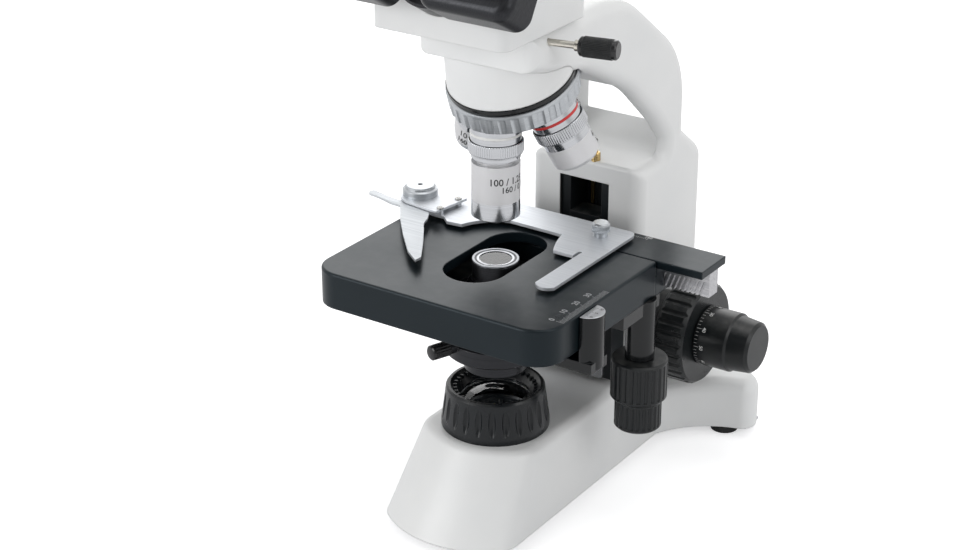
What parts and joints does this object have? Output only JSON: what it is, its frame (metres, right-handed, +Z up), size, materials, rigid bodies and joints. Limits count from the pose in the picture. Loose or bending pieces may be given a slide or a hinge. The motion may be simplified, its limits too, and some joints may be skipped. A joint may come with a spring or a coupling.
{
  "type": "microscope",
  "caption": "Binocular laboratory microscope with white stand, black mechanical stage, tilted rotating nosepiece with objectives, condenser, illuminator and focus knobs.",
  "frame": {"origin": "on the table, under the optical axis, which is also the middle of the bounding box's base to within 2 mm", "axes": "+Z up, -Y towards the user, +X to the user's right"},
  "size_m": [0.1781, 0.2843, 0.3451],
  "materials": {
    "white_paint": "glossy smooth enamel",
    "black_paint": "semi-gloss black enamel",
    "satin_black": "satin black anodised",
    "silver": "satin",
    "steel": "machined",
    "brass": "machined",
    "black_plastic": "fine matte",
    "rubber": "matte",
    "glass": "clear",
    "board": "circuit board with its lamp"
  },
  "bodies": {
    "stand": {"base_casting": "white_paint", "bottom_cover": "silver", "rubber_feet": "rubber", "arm_casting": "white_paint", "focus_guide": "satin_black", "guide_strip": "brass", "focus_bushes": "steel", "nosepiece_carrier": "white_paint", "nosepiece_spindle": "steel", "illuminator_collar": "black_plastic", "field_lens": "glass", "lamp_board": "board", "power_inlet": "black_plastic"},
    "stage_lift": {"stage_bracket": "satin_black", "bracket_cover": "silver", "focus_rack": "steel", "stage_frame": "satin_black", "vernier_pillar": "satin_black"},
    "coarse": {"coarse_shaft": "steel", "coarse_knobs": "black_plastic"},
    "fine": {"fine_knobs": "black_plastic"},
    "tension": {"tension_collar": "black_plastic"},
    "stage_y": {"stage_plate": "black_paint", "stage_rail": "black_paint", "drive_column": "satin_black"},
    "y_drive": {"y_drive_knob": "black_plastic"},
    "x_drive": {"x_drive_knob": "black_plastic"},
    "holder": {"x_slide": "black_paint", "x_rack": "steel", "holder_plate": "silver", "thumb_screw": "silver", "finger_cover": "silver", "pivot_cap": "silver"},
    "finger": {"slide_finger": "silver"},
    "condenser": {"condenser_carrier": "satin_black", "condenser_body": "satin_black", "condenser_lenses": "glass"},
    "iris": {"iris_ring": "satin_black"},
    "condenser_focus": {"condenser_knob": "black_plastic"},
    "turret": {"nosepiece_turret": "silver", "nosepiece_seal": "satin_black", "objective_4x": "silver", "objective_10x": "silver", "objective_40x": "silver", "objective_100x": "silver"},
    "nose_100x": {"barrel_100x": "silver"},
    "nose_40x": {"barrel_40x": "silver"},
    "head": {"head_housing": "white_paint", "head_hub": "satin_black", "head_dovetail": "steel"},
    "lock": {"lock_screw": "black_plastic"},
    "left_tube": {"left_eyetube": "satin_black", "left_eyepiece": "black_plastic"},
    "right_tube": {"right_eyetube": "satin_black", "right_eyepiece": "black_plastic"},
    "diopter": {"diopter_ring": "black_plastic"},
    "dial": {"brightness_dial": "black_plastic"},
    "switch": {"power_switch": "black_plastic"}
  },
  "joints": [
    {"name": "stage_focus", "type": "slide", "parent": "stand", "child": "stage_lift", "axis": [0, 0, 1], "range_m": [-0.0008, 0.016]},
    {"name": "coarse_turn", "type": "hinge", "parent": "stand", "child": "coarse", "pos_m": [0, 0.103, 0.064], "axis": [1, 0, 0], "range_deg": [-10, 160]},
    {"name": "fine_turn", "type": "hinge", "parent": "stand", "child": "fine", "pos_m": [0, 0.103, 0.064], "axis": [1, 0, 0], "continuous": true},
    {"name": "tension_turn", "type": "hinge", "parent": "stand", "child": "tension", "pos_m": [0, 0.103, 0.064], "axis": [1, 0, 0], "range_deg": [-60, 60]},
    {"name": "stage_y_travel", "type": "slide", "parent": "stage_lift", "child": "stage_y", "axis": [0, 1, 0], "range_m": [-0.015, 0.015]},
    {"name": "y_knob_turn", "type": "hinge", "parent": "stage_y", "child": "y_drive", "pos_m": [0.06, 0.032, 0], "axis": [0, 0, 1], "range_deg": [-150, 150]},
    {"name": "x_knob_turn", "type": "hinge", "parent": "stage_y", "child": "x_drive", "pos_m": [0.06, 0.032, 0], "axis": [0, 0, 1], "range_deg": [-250, 250]},
    {"name": "stage_x_travel", "type": "slide", "parent": "stage_y", "child": "holder", "axis": [1, 0, 0], "range_m": [-0.025, 0.025]},
    {"name": "finger_open", "type": "hinge", "parent": "holder", "child": "finger", "pos_m": [-0.065, 0.031, 0.134], "axis": [0, 0, 1], "range_deg": [-25, 0], "stiffness_Nm_per_rad": 0.01, "springref_deg": 17.19},
    {"name": "condenser_focus_travel", "type": "slide", "parent": "stage_lift", "child": "condenser", "axis": [0, 0, 1], "range_m": [-0.007, 0]},
    {"name": "iris_turn", "type": "hinge", "parent": "condenser", "child": "iris", "pos_m": [0, 0, 0.0875], "axis": [0, 0, 1], "range_deg": [-35, 35]},
    {"name": "condenser_knob_turn", "type": "hinge", "parent": "stage_lift", "child": "condenser_focus", "pos_m": [-0.04, 0.056, 0.088], "axis": [1, 0, 0], "range_deg": [-5, 110]},
    {"name": "turret_turn", "type": "hinge", "parent": "stand", "child": "turret", "pos_m": [0, 0, 0.2487], "axis": [0, 0.342, -0.9397], "continuous": true},
    {"name": "nose_100x_travel", "type": "slide", "parent": "turret", "child": "nose_100x", "axis": [0, 0, 1], "range_m": [0, 0.002], "stiffness_N_per_m": 1500, "springref_m": -0.002},
    {"name": "nose_40x_travel", "type": "slide", "parent": "turret", "child": "nose_40x", "axis": [0, -0.6428, 0.766], "range_m": [0, 0.002], "stiffness_N_per_m": 1500, "springref_m": -0.002},
    {"name": "head_turn", "type": "hinge", "parent": "stand", "child": "head", "pos_m": [0, 0, 0.246], "axis": [0, 0, 1], "continuous": true},
    {"name": "lock_turn", "type": "hinge", "parent": "stand", "child": "lock", "pos_m": [0.0325, -0.0048, 0.241], "axis": [0.9781, 0.2079, 0], "range_deg": [-90, 90]},
    {"name": "left_tube_fold", "type": "hinge", "parent": "head", "child": "left_tube", "pos_m": [0, -0.046, 0.281], "axis": [0, -0.866, 0.5], "range_deg": [-20, 5]},
    {"name": "right_tube_fold", "type": "hinge", "parent": "head", "child": "right_tube", "pos_m": [0, -0.046, 0.281], "axis": [0, -0.866, 0.5], "range_deg": [-5, 20]},
    {"name": "diopter_turn", "type": "hinge", "parent": "left_tube", "child": "diopter", "pos_m": [-0.032, -0.09796, 0.311], "axis": [0, -0.866, 0.5], "range_deg": [-120, 120]},
    {"name": "dial_turn", "type": "hinge", "parent": "stand", "child": "dial", "pos_m": [-0.04, 0.062, 0.02], "axis": [1, 0, 0], "range_deg": [-135, 135]},
    {"name": "switch_rock", "type": "hinge", "parent": "stand", "child": "switch", "pos_m": [0.002, 0.1365, 0.015], "axis": [1, 0, 0], "range_deg": [-6, 6]}
  ],
  "couplings": [
    {"joint": "coarse_turn", "follows": "stage_focus", "rad_per_m": 166.67},
    {"joint": "y_knob_turn", "follows": "stage_y_travel", "rad_per_m": 166.67},
    {"joint": "x_knob_turn", "follows": "stage_x_travel", "rad_per_m": 166.67},
    {"joint": "condenser_knob_turn", "follows": "condenser_focus_travel", "rad_per_m": -250},
    {"joint": "right_tube_fold", "follows": "left_tube_fold", "ratio": -1}
  ]
}
